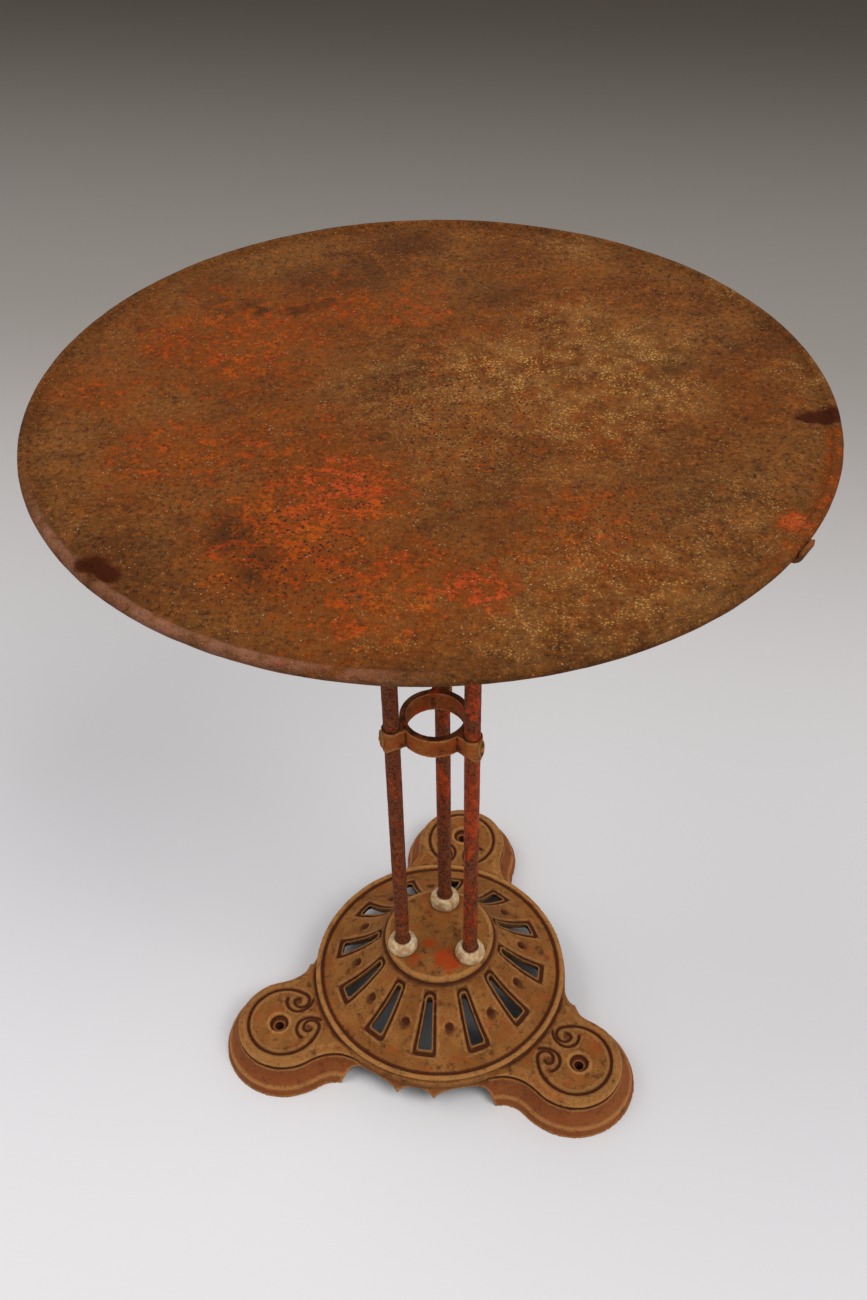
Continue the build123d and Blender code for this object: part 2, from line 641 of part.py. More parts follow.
save("tabletop_sheet", tabletop_sheet())
save("rim_wire", rim_wire())
save("top_spider", top_spider())
save("arm_rivets", arm_rivets())
save("top_lock_nuts", top_lock_nuts())
save("collar_ring", collar_ring())
save("collar_pins", collar_pins())
save("base_casting", base_casting())
save("base_washers", base_washers())
save("base_nuts", base_nuts())
for side_name, side_azimuth in SIDES.items():
    turned = Rot(0, 0, side_azimuth)
    arm = hooked_arm() if side_name == "front_right" else plain_arm()
    save(f"brace_arm_{side_name}", turned * arm)
    save(f"rod_{side_name}", rod(side_azimuth))
    save(f"rod_ferrule_{side_name}", turned * rod_ferrule())
    save(f"collar_shield_{side_name}", turned * collar_shield())
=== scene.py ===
import math

import bpy
import numpy as np
from mathutils import Matrix, Vector, noise
from mathutils.kdtree import KDTree


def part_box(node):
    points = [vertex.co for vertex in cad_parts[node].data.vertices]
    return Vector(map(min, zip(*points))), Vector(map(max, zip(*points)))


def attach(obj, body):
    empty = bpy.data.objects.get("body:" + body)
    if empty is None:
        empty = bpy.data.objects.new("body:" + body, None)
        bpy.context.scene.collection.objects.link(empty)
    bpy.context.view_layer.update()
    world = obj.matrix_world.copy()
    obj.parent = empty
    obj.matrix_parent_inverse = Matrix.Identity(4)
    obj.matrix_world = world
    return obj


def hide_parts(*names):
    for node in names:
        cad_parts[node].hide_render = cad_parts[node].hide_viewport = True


# An old iron pedestal table: a rusted sheet top with remains of orange paint, three painted rods
# tied by a cast collar, and a pierced cast base. Every new piece is a worn version of a CAD part.

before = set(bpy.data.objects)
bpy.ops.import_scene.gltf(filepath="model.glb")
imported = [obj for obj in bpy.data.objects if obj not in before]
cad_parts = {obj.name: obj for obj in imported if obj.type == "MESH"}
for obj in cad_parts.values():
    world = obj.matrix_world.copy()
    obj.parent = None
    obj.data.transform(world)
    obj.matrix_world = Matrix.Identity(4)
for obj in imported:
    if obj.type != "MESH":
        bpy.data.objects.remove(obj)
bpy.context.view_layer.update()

MM = 0.001
SHEET_THICKNESS = 1.6 * MM
BEAD_RISE = 1.9 * MM
TENON_SHARE = 5.0 / 7.0
FOOT_AZIMUTHS = (90.0, 210.0, 330.0)
# How much of its paint each rod keeps.
ROD_PAINT = {"back": 0.5, "front_left": 0.42, "front_right": 0.68}
# Flat sides round the top and round a rod, and the most triangles a casting and a small part keep.
TOP_SIDES = 540
ROD_SIDES = 40
MOST_CASTING_TRIANGLES = 190000
MOST_SMALL_TRIANGLES = 60000
# The dent or bump, over the length of a mesh's edges, that counts as fully hollow or fully ridged.
HOLLOW_SPREAD = 0.05


# ---------------------------------------------------------------- numbers and noise
def polar(radius, degrees):
    """A flat point at a radius and an azimuth."""
    angle = math.radians(degrees)
    return np.array((radius * math.cos(angle), radius * math.sin(angle)))


def smooth_step(value, low, high):
    """0 below low, 1 above high and an even curve between; low may be the larger."""
    share = np.clip((value - low) / (high - low), 0.0, 1.0)
    return share * share * (3.0 - 2.0 * share)


def between(value, start, full, fading, end):
    """1 from full to fading, and 0 outside start and end."""
    return smooth_step(value, start, full) * smooth_step(value, end, fading)


def band(value, middle, wide, narrow):
    """1 within narrow of a middle value, and 0 beyond wide."""
    return smooth_step(np.abs(value - middle), wide, narrow)


def grain(points, size, seed=0.0, octaves=3):
    """Noise with features of about the given size at each point, mostly between -1 and 1."""
    shift = Vector((seed, 1.7 * seed, -seed))
    places = np.asarray(points) / size
    return np.array([noise.fractal(Vector(place) + shift, 1.0, 2.0, octaves) for place in places])


def spot(points, centre, radius, edge):
    """1 in the middle of a round spot on the table, fading from a share of its radius to 0 at its
    edge; sizes are in millimetres."""
    distance = np.hypot(points[:, 0] - centre[0] * MM, points[:, 1] - centre[1] * MM)
    return 1.0 - smooth_step(distance, radius * edge * MM, radius * MM)


def spots(points, places, edge=0.2):
    """The strongest of several soft spots, each given as x, y and radius in millimetres, and strength."""
    strength = np.zeros(len(points))
    for x, y, radius, share in places:
        strength = np.maximum(strength, share * spot(points, (x, y), radius, edge))
    return strength


# ---------------------------------------------------------------- mesh tools
def new_piece(name, mesh, node, material):
    """A piece on the table's one body, standing for a CAD node."""
    mesh.materials.clear()
    mesh.materials.append(material)
    mesh.shade_smooth()
    piece = bpy.data.objects.new(name, mesh)
    bpy.context.scene.collection.objects.link(piece)
    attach(piece, "root")
    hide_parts(node)
    return piece


def lathe(name, profile, segments):
    """A closed mesh turned round Z from radius and height points, with a pole at each end."""
    low_z, high_z = profile[0][1], profile[-1][1]
    rings = np.array(profile[1:-1])
    angles = np.linspace(0.0, 2.0 * math.pi, segments, endpoint=False)
    around = np.stack([np.cos(angles), np.sin(angles)], axis=1)
    flat = rings[:, None, 0:1] * around[None, :, :]
    heights = np.repeat(rings[:, 1], segments).reshape(len(rings), segments, 1)
    points = np.concatenate([flat, heights], axis=2).reshape(-1, 3)
    points = np.vstack([points, (0.0, 0.0, low_z), (0.0, 0.0, high_z)])
    here = np.arange(segments)
    there = (here + 1) % segments
    faces = []
    for ring in range(len(rings) - 1):
        a, b = ring * segments, (ring + 1) * segments
        faces += np.stack([a + here, a + there, b + there, b + here], axis=1).tolist()
    first_pole, last_pole = len(points) - 2, len(points) - 1
    last = (len(rings) - 1) * segments
    faces += [(first_pole, int(j), int(i)) for i, j in zip(here, there)]
    faces += [(last_pole, int(last + i), int(last + j)) for i, j in zip(here, there)]
    mesh = bpy.data.meshes.new(name)
    mesh.from_pydata(points.tolist(), [], faces)
    mesh.update()
    return mesh


def vectors_of(items, name):
    """A vector kept on each item of a mesh, as the rows of an array."""
    flat = np.zeros(len(items) * 3, np.float32)
    items.foreach_get(name, flat)
    return flat.reshape(-1, 3).astype(float)


def points_of(mesh):
    """The mesh's vertices as an array."""
    return vectors_of(mesh.vertices, "co")


def normals_of(mesh):
    """The mesh's vertex normals as an array."""
    return vectors_of(mesh.vertex_normals, "vector")


def set_points(mesh, points):
    """Puts the mesh's vertices where the array says."""
    mesh.vertices.foreach_set("co", points.astype(np.float32).ravel())
    mesh.update()


def paint(mesh, name, values):
    """Keeps one number per vertex for the material to read."""
    attribute = mesh.attributes.new(name, "FLOAT", "POINT")
    attribute.data.foreach_set("value", np.asarray(values, np.float32))


def hollows_of(mesh):
    """How hollow the surface is at each vertex: near 1 in grooves, near 0 on ridges."""
    count = len(mesh.vertices)
    pairs = np.zeros(len(mesh.edges) * 2, np.int32)
    mesh.edges.foreach_get("vertices", pairs)
    first, second = pairs[0::2], pairs[1::2]
    both = np.concatenate([first, second])
    other = np.concatenate([second, first])
    degree = np.maximum(np.bincount(both, minlength=count), 1)

    def mean_round(values):
        return np.bincount(both, weights=values[other], minlength=count) / degree

    points = points_of(mesh)
    for _ in range(2):
        points = np.stack([mean_round(points[:, axis]) for axis in range(3)], axis=1)
    centre = np.stack([mean_round(points[:, axis]) for axis in range(3)], axis=1)
    edge_length = np.linalg.norm(points[first] - points[second], axis=1).mean()
    hollow = ((centre - points) * normals_of(mesh)).sum(axis=1) / edge_length
    for _ in range(3):
        hollow = mean_round(hollow)
    return np.clip(0.5 + hollow / (2.0 * HOLLOW_SPREAD), 0.0, 1.0)


def nearest_values(points, values, places):
    """The value kept at the point nearest to each place."""
    tree = KDTree(len(points))
    for index, point in enumerate(points):
        tree.insert(point, index)
    tree.balance()
    return np.array([values[tree.find(place)[1]] for place in places])


def work_object(mesh):
    """An object that lasts only while its modifiers are used."""
    work = bpy.data.objects.new("work", mesh)
    bpy.context.scene.collection.objects.link(work)
    return work


def with_modifiers(piece):
    """A new mesh with the object's modifiers applied; the object is removed."""
    graph = bpy.context.evaluated_depsgraph_get()
    mesh = bpy.data.meshes.new_from_object(piece.evaluated_get(graph))
    bpy.data.objects.remove(piece)
    return mesh


def cast_skin(node, voxel, rounds, roughness, most_triangles=None, carving=None):
    """A copy of a CAD part with soft edges and a rough skin. The roughness is a list of feature
    size and height, and carving gives a further rise at each point."""
    work = work_object(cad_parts[node].data.copy())
    remesh = work.modifiers.new("remesh", "REMESH")
    remesh.mode = "VOXEL"
    remesh.voxel_size = voxel * 1.0
    soften = work.modifiers.new("soften", "SMOOTH")
    soften.factor = 0.5
    soften.iterations = rounds
    mesh = with_modifiers(work)
    points = points_of(mesh)
    normals = normals_of(mesh)
    rise = np.zeros(len(points)) if carving is None else carving(points, normals)
    for seed, (size, height) in enumerate(roughness):
        rise += height * grain(points, size, seed * 3.1)
    points += normals * rise[:, None]
    set_points(mesh, points)
    hollows = hollows_of(mesh)
    triangles = 2 * len(mesh.polygons)
    if most_triangles and triangles > most_triangles:
        work = work_object(mesh)
        fewer = work.modifiers.new("fewer", "DECIMATE")
        fewer.ratio = most_triangles / triangles
        mesh = with_modifiers(work)
        hollows = nearest_values(points, hollows, points_of(mesh))
    paint(mesh, "hollow", hollows)
    return mesh


# ---------------------------------------------------------------- materials
def tint(red, green, blue):
    """A colour given as 0 to 255 screen values."""
    def linear(value):
        share = value / 255.0
        return share / 12.92 if share <= 0.04045 else ((share + 0.055) / 1.055) ** 2.4

    return (linear(red), linear(green), linear(blue), 1.0)


class Recipe:
    """A material being made. Each method adds a node and returns its output."""

    def __init__(self, name):
        self.material = bpy.data.materials.new(name)
        self.material.use_nodes = True
        self.tree = self.material.node_tree
        self.tree.nodes.clear()
        self.place = self.tree.nodes.new("ShaderNodeTexCoord").outputs["Object"]

    def put(self, socket, value):
        """Links or sets one input."""
        if isinstance(value, bpy.types.NodeSocket):
            self.tree.links.new(value, socket)
        else:
            socket.default_value = value

    def noise(self, size, detail=5.0, rough=0.6, twist=0.0, place=None):
        """Noise with features of about the given size."""
        node = self.tree.nodes.new("ShaderNodeTexNoise")
        self.put(node.inputs["Vector"], self.place if place is None else place)
        self.put(node.inputs["Scale"], 1.0 / size)
        self.put(node.inputs["Detail"], detail)
        self.put(node.inputs["Roughness"], rough)
        self.put(node.inputs["Distortion"], twist)
        return node.outputs[0]

    def grains(self, size, place=None):
        """Distance to the middle of the nearest of many scattered grains."""
        node = self.tree.nodes.new("ShaderNodeTexVoronoi")
        self.put(node.inputs["Vector"], self.place if place is None else place)
        self.put(node.inputs["Scale"], 1.0 / size)
        return node.outputs["Distance"]

    def stretched(self, scale):
        """The place with each axis scaled, for marks longer one way than the other."""
        node = self.tree.nodes.new("ShaderNodeMapping")
        self.put(node.inputs["Vector"], self.place)
        node.inputs["Scale"].default_value = scale
        return node.outputs["Vector"]

    def painted(self, name):
        """A number kept on the mesh by paint()."""
        node = self.tree.nodes.new("ShaderNodeAttribute")
        node.attribute_name = name
        return node.outputs["Fac"]

    def maths(self, operation, first, second=0.0, third=0.0):
        """One arithmetic step."""
        node = self.tree.nodes.new("ShaderNodeMath")
        node.operation = operation
        self.put(node.inputs[0], first)
        self.put(node.inputs[1], second)
        self.put(node.inputs[2], third)
        return node.outputs[0]

    def ramp(self, value, low, high, to_low=0.0, to_high=1.0):
        """A smooth step from low to high."""
        node = self.tree.nodes.new("ShaderNodeMapRange")
        node.interpolation_type = "SMOOTHSTEP"
        self.put(node.inputs["Value"], value)
        self.put(node.inputs["From Min"], low)
        self.put(node.inputs["From Max"], high)
        self.put(node.inputs["To Min"], to_low)
        self.put(node.inputs["To Max"], to_high)
        return node.outputs["Result"]

    def mix(self, share, first, second):
        """One colour laid over another by a share."""
        node = self.tree.nodes.new("ShaderNodeMix")
        node.data_type = "RGBA"
        self.put(node.inputs[0], share)
        self.put(node.inputs[6], first)
        self.put(node.inputs[7], second)
        return node.outputs[2]

    def finish(self, colour, roughness, relief, depth, shine=0.04):
        """Joins up the surface, with relief in metres of depth, and returns the material."""
        surface = self.tree.nodes.new("ShaderNodeBsdfPrincipled")
        out = self.tree.nodes.new("ShaderNodeOutputMaterial")
        bump = self.tree.nodes.new("ShaderNodeBump")
        self.put(bump.inputs["Height"], relief)
        self.put(bump.inputs["Distance"], depth)
        self.put(surface.inputs["Base Color"], colour)
        self.put(surface.inputs["Roughness"], roughness)
        self.put(surface.inputs["Specular IOR Level"], shine)
        self.put(surface.inputs["Normal"], bump.outputs["Normal"])
        self.put(out.inputs["Surface"], surface.outputs["BSDF"])
        return self.material


def rusted_sheet():
    """Brown granular rust with a broken net of orange paint, ochre grains, pale specks that are partly
    painted glints, dark specks, dark marks with painted shade near the rim and under the sheet, a painted
    highlight on the rubbed rim and two glossy stains."""
    make = Recipe("rusted_sheet")
    broad = make.noise(60 * MM, 4.0, 0.6)
    middle = make.noise(16 * MM, 6.0, 0.7)
    fine = make.noise(3.4 * MM, 5.0, 0.75)
    net = make.noise(9 * MM, 8.0, 0.76, 0.4)
    # Brown rust, uneven at three sizes.
    rust = make.mix(make.ramp(broad, 0.35, 0.65), tint(98, 54, 20), tint(112, 69, 30))
    rust = make.mix(make.ramp(middle, 0.5, 0.68, 0.0, 0.55), rust, tint(146, 82, 30))
    rust = make.mix(make.ramp(middle, 0.47, 0.3, 0.0, 0.7), rust, tint(74, 42, 20))
    rust = make.mix(make.ramp(fine, 0.5, 0.34, 0.0, 0.85), rust, tint(42, 25, 15))
    rust = make.mix(make.ramp(fine, 0.54, 0.7, 0.0, 0.55), rust, tint(162, 104, 50))
    # What is left of the paint: an orange tinge, and over it a broken net of orange.
    paint_share = make.painted("paint")
    tinge = make.maths("MULTIPLY", paint_share, make.ramp(middle, 0.3, 0.6, 0.25, 0.75))
    rust = make.mix(tinge, rust, tint(122, 60, 16))
    net_level = make.maths("MULTIPLY_ADD", paint_share, 0.15, net)
    left = make.ramp(net_level, 0.6, 0.7, 0.0, 0.8)
    orange = make.mix(make.ramp(make.noise(24 * MM), 0.4, 0.62), tint(166, 76, 12), tint(162, 62, 14))
    orange = make.mix(make.painted("bright"), orange, tint(188, 70, 30))
    orange = make.mix(make.ramp(fine, 0.54, 0.38, 0.0, 0.85), orange, tint(78, 38, 15))
    colour = make.mix(left, rust, orange)
    # An ochre haze with ochre grains, then pale specks that are partly painted glints of light, and dark
    # pits.
    ochre = make.painted("ochre")
    haze = make.maths("MULTIPLY", ochre, make.ramp(make.noise(20 * MM), 0.4, 0.66, 0.0, 0.5))
    colour = make.mix(haze, colour, tint(150, 104, 56))
    ochre_grain = make.ramp(make.grains(2.1 * MM), 0.42, 0.22)
    ochre_share = make.maths("MULTIPLY", ochre_grain, make.ramp(make.noise(10 * MM), 0.42, 0.6))
    colour = make.mix(make.maths("MULTIPLY", ochre_share, ochre), colour, tint(196, 148, 74))
    # Pale specks that partly stand for tiny glints of light: painted highlights.
    pale_glint_grain = make.ramp(make.grains(3.3 * MM), 0.2, 0.1, 0.0, 0.75)
    pale_glint_share = make.maths("MULTIPLY", pale_glint_grain, make.ramp(make.noise(13 * MM), 0.48, 0.6, 0.25, 1.0))
    colour = make.mix(pale_glint_share, colour, tint(178, 148, 112))
    pits = make.ramp(make.grains(4.0 * MM), 0.32, 0.16, 0.0, 0.9)
    pits = make.maths("MULTIPLY", pits, make.painted("specks"))
    colour = make.mix(pits, colour, tint(40, 34, 31))
    # Dark blotches with painted shade near the rim and under the sheet, the rubbed rim with its painted
    # highlight, and the glossy stains.
    dark = make.maths("MULTIPLY", make.painted("dark"), make.ramp(net, 0.3, 0.6, 1.25, 0.55))
    colour = make.mix(dark, colour, tint(56, 32, 16))
    colour = make.mix(make.painted("wear_and_highlight"), colour, tint(136, 92, 72))
    colour = make.mix(make.painted("gloss"), colour, tint(60, 22, 3))
    # Grains and paint stand up from the rust.
    rough = make.ramp(fine, 0.3, 0.7, 0.55, 0.85)
    rough = make.maths("MULTIPLY_ADD", make.painted("gloss"), -0.12, rough)
    relief = make.maths("MULTIPLY_ADD", make.ramp(make.grains(2.8 * MM), 0.5, 0.1), 0.6, fine)
    relief = make.maths("MULTIPLY_ADD", make.ramp(make.grains(1.3 * MM), 0.6, 0.2), 0.3, relief)
    relief = make.maths("MULTIPLY_ADD", left, 0.25, relief)
    return make.finish(colour, rough, relief, 1.1 * MM)


def flaking_paint():
    """Red-orange paint over purple-brown rust, flaked off in patches along a rod."""
    make = Recipe("flaking_paint")
    long_place = make.stretched((1.0, 1.0, 0.35))
    patches = make.noise(15 * MM, 6.0, 0.75, 0.6, long_place)
    fine = make.noise(2.6 * MM, 4.0, 0.72)
    amount = make.maths("ADD", patches, make.maths("MULTIPLY_ADD", make.painted("paint"), 0.4, -0.2))
    left = make.ramp(amount, 0.5, 0.56)
    rust = make.mix(make.ramp(fine, 0.36, 0.58), tint(60, 30, 21), tint(114, 60, 35))
    rust = make.mix(make.ramp(make.noise(8 * MM), 0.5, 0.68, 0.0, 0.75), rust, tint(132, 72, 30))
    red = make.mix(make.ramp(make.noise(7 * MM), 0.36, 0.6), tint(168, 60, 17), tint(122, 48, 19))
    red = make.mix(make.ramp(fine, 0.56, 0.68, 0.0, 0.8), red, tint(204, 86, 34))
    red = make.mix(make.ramp(fine, 0.47, 0.36, 0.0, 0.8), red, tint(74, 34, 20))
    colour = make.mix(left, rust, red)
    relief = make.maths("MULTIPLY_ADD", left, 0.9, fine)
    rough = make.ramp(left, 0.0, 1.0, 0.78, 0.56)
    return make.finish(colour, rough, relief, 0.5 * MM, shine=0.08)


def cast_iron(name, light, deep, pale, red_share, mottle):
    """Rusted cast iron: mottled light and pale at the given size, deep in its hollows and pores,
    rubbed on its ridges, with painted highlights on lips and ridges and painted shade in sunk marks and
    underneath, and red in patches by the given share."""
    make = Recipe(name)
    broad = make.noise(mottle, 4.0, 0.6)
    middle = make.noise(11 * MM, 6.0, 0.72)
    fine = make.noise(2.2 * MM, 4.0, 0.72)
    hollow = make.painted("hollow")
    # Brown iron, uneven at two sizes, with redder patches and red walls.
    colour = make.mix(make.ramp(broad, 0.36, 0.64), light, pale)
    colour = make.mix(make.ramp(middle, 0.5, 0.68, 0.0, 0.55), colour, tint(146, 76, 24))
    colour = make.mix(make.ramp(middle, 0.49, 0.33, 0.0, 0.8), colour, deep)
    red = make.maths("MULTIPLY", make.ramp(make.noise(26 * MM, 5.0, 0.7), 0.5, 0.68), red_share)
    colour = make.mix(red, colour, tint(148, 64, 26))
    wall = make.maths("MULTIPLY", make.painted("red"), make.ramp(middle, 0.3, 0.62, 0.5, 0.95))
    colour = make.mix(wall, colour, tint(128, 64, 36))
    # Pale where it is rubbed and where highlights are painted; dark in hollows, in sunk marks where shade is
    # painted, and in pores.
    wear_and_highlight = make.maths("MAXIMUM", make.ramp(hollow, 0.42, 0.18, 0.0, 0.5), make.painted("light"))
    wear_and_highlight = make.maths("MULTIPLY", wear_and_highlight, make.ramp(middle, 0.3, 0.55, 0.45, 1.0))
    colour = make.mix(wear_and_highlight, colour, tint(184, 132, 76))
    colour = make.mix(make.ramp(hollow, 0.58, 0.84, 0.0, 0.8), colour, deep)
    colour = make.mix(make.painted("shade"), colour, tint(66, 29, 14))
    colour = make.mix(make.ramp(fine, 0.46, 0.32, 0.0, 0.65), colour, tint(46, 24, 13))
    # Old paint with a broken edge, and painted shade inside and underneath.
    broken = make.maths("MULTIPLY_ADD", middle, 2.4, -1.2)
    broken = make.maths("ADD", broken, make.maths("MULTIPLY_ADD", fine, 1.2, -0.6))
    paint_edge = make.maths("ADD", make.painted("paint"), broken)
    colour = make.mix(make.ramp(paint_edge, 0.4, 0.8, 0.0, 0.85), colour, tint(160, 54, 14))
    # Painted shade inside the casting and in its slots.
    colour = make.mix(make.painted("inside_shade"), colour, tint(26, 20, 18))
    relief = make.maths("MULTIPLY_ADD", middle, 0.8, fine)
    rough = make.ramp(fine, 0.3, 0.7, 0.55, 0.82)
    return make.finish(colour, rough, relief, 0.7 * MM, shine=0.07)


def worn_ferrule():
    """Pale warm grey domes, stained brown towards the rod and the hub."""
    make = Recipe("worn_ferrule")
    middle = make.noise(7 * MM, 5.0, 0.65)
    fine = make.noise(1.5 * MM, 4.0, 0.7)
    colour = make.mix(make.ramp(middle, 0.36, 0.6), tint(168, 126, 84), tint(204, 178, 136))
    colour = make.mix(make.ramp(middle, 0.55, 0.7, 0.0, 0.8), colour, tint(220, 206, 176))
    colour = make.mix(make.painted("stain"), colour, tint(88, 50, 27))
    colour = make.mix(make.ramp(fine, 0.38, 0.26, 0.0, 0.6), colour, tint(96, 62, 38))
    relief = make.maths("MULTIPLY_ADD", middle, 1.0, fine)
    return make.finish(colour, make.ramp(middle, 0.3, 0.7, 0.4, 0.6), relief, 0.4 * MM, shine=0.3)


def dark_rust(name, light, dark):
    """Plain brown rust for parts out of the light."""
    make = Recipe(name)
    middle = make.noise(12 * MM, 6.0, 0.65)
    fine = make.noise(2.2 * MM, 4.0, 0.7)
    colour = make.mix(make.ramp(middle, 0.38, 0.62), dark, light)
    colour = make.mix(make.ramp(fine, 0.55, 0.7, 0.0, 0.6), colour, tint(150, 84, 38))
    colour = make.mix(make.ramp(fine, 0.42, 0.3, 0.0, 0.7), colour, tint(44, 26, 17))
    colour = make.mix(make.ramp(make.painted("hollow"), 0.6, 0.85, 0.0, 0.8), colour, tint(38, 22, 15))
    relief = make.maths("MULTIPLY_ADD", middle, 0.8, fine)
    return make.finish(colour, make.ramp(fine, 0.3, 0.7, 0.55, 0.8), relief, 0.5 * MM)


# ---------------------------------------------------------------- top
# Marks on the top, each as x, y and radius in millimetres, and strength: where the orange paint is
# left, where it is brightest, ochre grains, dark specks, dark blotches and glossy stains.
PAINT_LEFT = [
    (-150, 60, 125, 0.9), (-85, 115, 75, 0.75), (-35, 125, 60, 0.7), (-40, -115, 75, 1.15),
    (-90, -60, 90, 0.65), (-60, -165, 95, 1.1), (0, -205, 95, 1.0), (55, -195, 45, 1.1),
    (-150, -90, 90, 0.8), (110, -140, 95, 0.7), (30, 70, 100, 0.4), (90, -35, 100, 0.45),
    (240, -110, 16, 1.5), (-225, -20, 70, 0.7), (80, 165, 80, 0.35), (-190, 120, 60, 0.5),
    (20, -60, 110, 0.45), (200, 30, 80, 0.25),
]
PAINT_BRIGHT = [(-40, -112, 50, 0.65), (55, -198, 34, 0.9), (240, -110, 12, 1.0), (-20, 125, 40, 0.3)]
OCHRE = [
    (120, 62, 85, 0.9), (50, 40, 75, 1.0), (80, 122, 60, 0.6), (150, 30, 60, 0.8), (-10, 10, 90, 0.5),
    (110, -15, 75, 0.7), (145, -185, 105, 0.6), (200, -110, 80, 0.45), (60, -60, 110, 0.4),
    (252, 65, 35, 0.8), (205, 180, 30, 0.8), (75, 240, 40, 0.5), (90, -222, 50, 0.5), (20, -235, 50, 0.3),
]
SPECKS = [
    (20, 0, 95, 1.0), (40, -40, 95, 0.9), (-60, -175, 90, 0.9), (-40, -120, 60, 0.7), (150, -120, 90, 0.6),
    (-120, -120, 80, 0.6),
]
BLOTCHES = [
    (-80, 168, 46, 0.6), (-115, 160, 34, 0.5), (-52, 225, 34, 0.6), (-95, -160, 30, 0.75),
    (165, 65, 26, 0.6), (-190, 150, 40, 0.4), (-70, -190, 30, 0.6), (75, -55, 30, 0.4),
    (170, -90, 60, 0.35), (-150, -200, 60, 0.3), (20, 150, 34, 0.35), (60, -110, 60, 0.35),
    (230, 110, 60, 0.2), (-20, 20, 34, 0.3),
]
STAINS = [
    (268, 11, 12, 1.0), (256, 9, 8, 1.0), (249, 7, 4, 1.0), (-168, -205, 12, 1.0), (-156, -212, 9, 1.0),
]
# Small smudges of dark corrosion at the back left; they run into each other in two uneven bands.
SMUDGES = [
    (-184, 108, 10, 0.7), (-170, 100, 8, 0.9), (-158, 109, 9, 0.8), (-146, 103, 10, 1.0),
    (-133, 110, 9, 0.7), (-121, 105, 11, 0.9), (-108, 112, 10, 1.0), (-97, 122, 9, 0.8),
    (-112, 126, 7, 0.6), (-176, 119, 7, 0.6), (-232, 76, 7, 0.7), (-224, 66, 8, 0.9),
    (-212, 69, 7, 0.6), (-150, 118, 6, 0.6),
]
# How far inside the bead the groove round the top lies, and how deep it is there.
GROOVE = ((0.8 * MM, 0.4 * MM), (2.6 * MM, 0.8 * MM), (4.6 * MM, 0.35 * MM))
# Azimuths between which the rolled rim is rubbed bare and painted lighter as a highlight where it catches the
# light, fading in and out, and the azimuths over which the ring of paint inside the rim begins.
BARE_AND_LIT_RIM = (205.0, 225.0, 262.0, 285.0)
RING_PAINT_FROM = (318.0, 330.0)


def top_profile(outer, rim_low, rim_high):
    """Section of the rolled sheet from the middle of its underside, out round the bead and back to
    the middle of its top."""
    bead = (rim_high - rim_low) / 2.0
    bead_at = outer - bead
    bead_z = rim_high - bead
    top_z = rim_high - BEAD_RISE
    under_z = top_z - SHEET_THICKNESS
    coarse = 1.0
    under = [(r, under_z) for r in np.arange(9 * MM, bead_at - bead, 9 * MM * coarse)]
    curl_angles = np.radians(np.arange(-205.0, 150.0, 14.0 * coarse))
    curl = [(bead_at + bead * math.cos(a), bead_z + bead * math.sin(a)) for a in curl_angles]
    inside = bead_at - bead
    groove = [(inside - away, top_z - deep) for away, deep in GROOVE]
    step = 2.75 * MM * coarse
    flat = [(r, top_z) for r in np.arange(inside - 6.5 * MM, step, -step)]
    return [(0.0, under_z)] + under + curl + groove + flat + [(0.0, top_z)]


def top_masks(mesh, points, on_top, outer):
    """Where the top's paint, grains, marks and stains are, with painted shade towards the rim and under the
    sheet and a painted highlight on the rubbed rim.
    """
    wobble = np.stack([grain(points, 55 * MM, 11.0), grain(points, 55 * MM, 17.0)], axis=1)
    places = points.copy()
    places[:, :2] += wobble * 9 * MM
    radius = np.hypot(points[:, 0], points[:, 1])
    azimuth = np.degrees(np.arctan2(points[:, 1], points[:, 0])) % 360.0
    ring_paint = 0.9 * smooth_step(radius, outer - 15 * MM, outer - 9 * MM)
    ring_paint *= smooth_step(azimuth, *RING_PAINT_FROM)
    fine_wobble = points.copy()
    fine_wobble[:, :2] += wobble[:, ::-1] * 3 * MM
    smudges = spots(fine_wobble, SMUDGES, 0.6) * (0.75 + 0.45 * grain(points, 14 * MM, 5.0))
    smudges = np.clip(smudges, 0.0, 1.0) * on_top
    # Pale band on the rim: rubbed metal with a painted highlight where the rim catches the light.
    wear_and_highlight = smooth_step(radius, outer - 9 * MM, outer - 5 * MM) * between(azimuth, *BARE_AND_LIT_RIM)
    wear_and_highlight = wear_and_highlight * np.clip(0.6 + 0.9 * grain(points, 12 * MM, 2.0), 0.0, 1.0)
    rim_shade = 0.3 * smooth_step(radius, outer - 26 * MM, outer - 4 * MM)
    gloss = spots(fine_wobble, STAINS, 0.75)
    dark = np.clip(spots(places, BLOTCHES) + 0.9 * smudges + rim_shade * (1.0 - wear_and_highlight), 0.0, 0.9)
    paint(mesh, "paint", np.maximum(spots(places, PAINT_LEFT), ring_paint) * on_top)
    paint(mesh, "bright", spots(places, PAINT_BRIGHT))
    paint(mesh, "ochre", spots(places, OCHRE) * on_top)
    paint(mesh, "specks", np.clip(spots(places, SPECKS) + 0.15, 0.0, 1.0) * on_top)
    # Dark marks, with painted shade towards the rim and over the whole underside of the sheet.
    paint(mesh, "dark", np.maximum(dark, 0.45 * (1.0 - on_top)))
    paint(mesh, "wear_and_highlight", 0.75 * wear_and_highlight)
    paint(mesh, "gloss", gloss)
    return smudges, gloss


